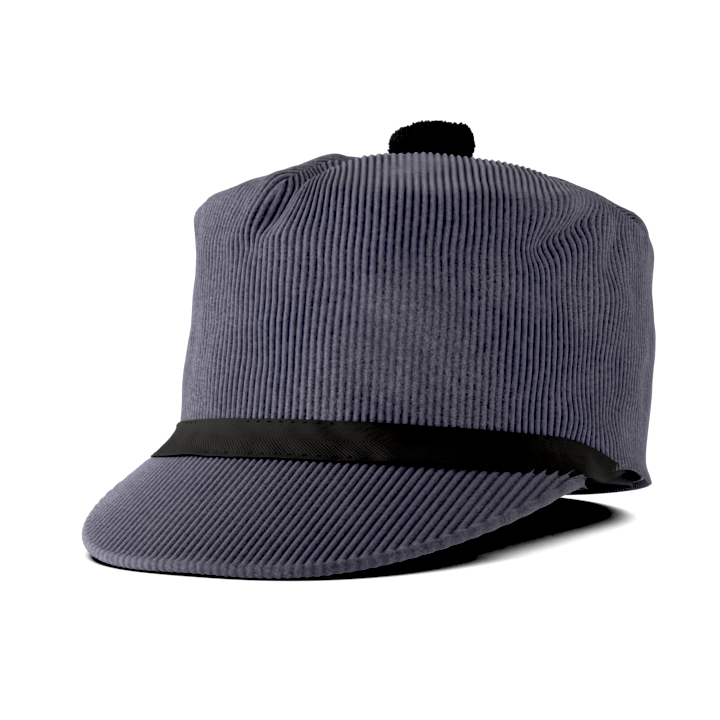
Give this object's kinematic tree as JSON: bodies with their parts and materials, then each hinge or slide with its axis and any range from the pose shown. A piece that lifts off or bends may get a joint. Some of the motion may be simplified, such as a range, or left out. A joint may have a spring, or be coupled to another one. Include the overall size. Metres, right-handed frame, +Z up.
{
  "type": "newsboy cap",
  "caption": "Tall four-cornered corduroy cap with a short sloped brim, a black herringbone tape over the brim's join and a black yarn pom-pom.",
  "frame": {"origin": "Middle of the box's base: the level on which the cap rests, under the middle of its outline.", "axes": "+X to the wearer's left, -Y to the front (the brim), +Z up. The cap is tipped back 7.5 degrees, as it rests on the brim's front edge and the back of the hem."},
  "size_m": [0.172, 0.2734, 0.1525],
  "materials": {
    "corduroy": "cut-pile corduroy, about 10 wales to the inch, slate blue-grey",
    "interlining": "non-woven fusible interlining",
    "lining": "plain woven cotton, dark",
    "buckram": "starched buckram",
    "twill": "black cotton twill",
    "herringbone": "black herringbone twill tape",
    "thread": "black sewing thread",
    "board": "flexible sheet",
    "button": "moulded, matte",
    "yarn": "cut acrylic yarn, black",
    "label": "woven satin tape, blank"
  },
  "bodies": {
    "cap": {"crown_front_panel": "corduroy", "crown_back_panel": "corduroy", "interlining_front": "interlining", "interlining_back": "interlining", "lining_front": "lining", "lining_back": "lining", "headband_stiffener": "buckram", "sweatband": "twill", "sweatband_stitching": "thread", "herringbone_tape": "herringbone", "tape_stitching": "thread", "brim_top_cover": "corduroy", "brim_board": "board", "brim_under_cover": "corduroy", "backing_button": "button", "pompom_shank": "thread", "tie_off_knot": "thread"},
    "pompom_neck": {"neck_knot": "thread"},
    "pompom": {"pompom": "yarn"},
    "care_label": {"care_label": "label"}
  },
  "joints": [
    {"name": "pompom_nod", "type": "hinge", "parent": "cap", "child": "pompom_neck", "pos_m": [0, 0.04168, 0.13288], "axis": [1, 0, 0], "range_deg": [-15, 15], "stiffness_Nm_per_rad": 0.01},
    {"name": "pompom_sway", "type": "hinge", "parent": "pompom_neck", "child": "pompom", "pos_m": [0, 0.04168, 0.13288], "axis": [0, 0.9916, -0.1297], "range_deg": [-15, 15], "stiffness_Nm_per_rad": 0.01},
    {"name": "label_lift", "type": "hinge", "parent": "cap", "child": "care_label", "pos_m": [0, 0.12205, 0.03624], "axis": [-1, 0, 0], "range_deg": [0, 75], "stiffness_Nm_per_rad": 0.0001}
  ]
}
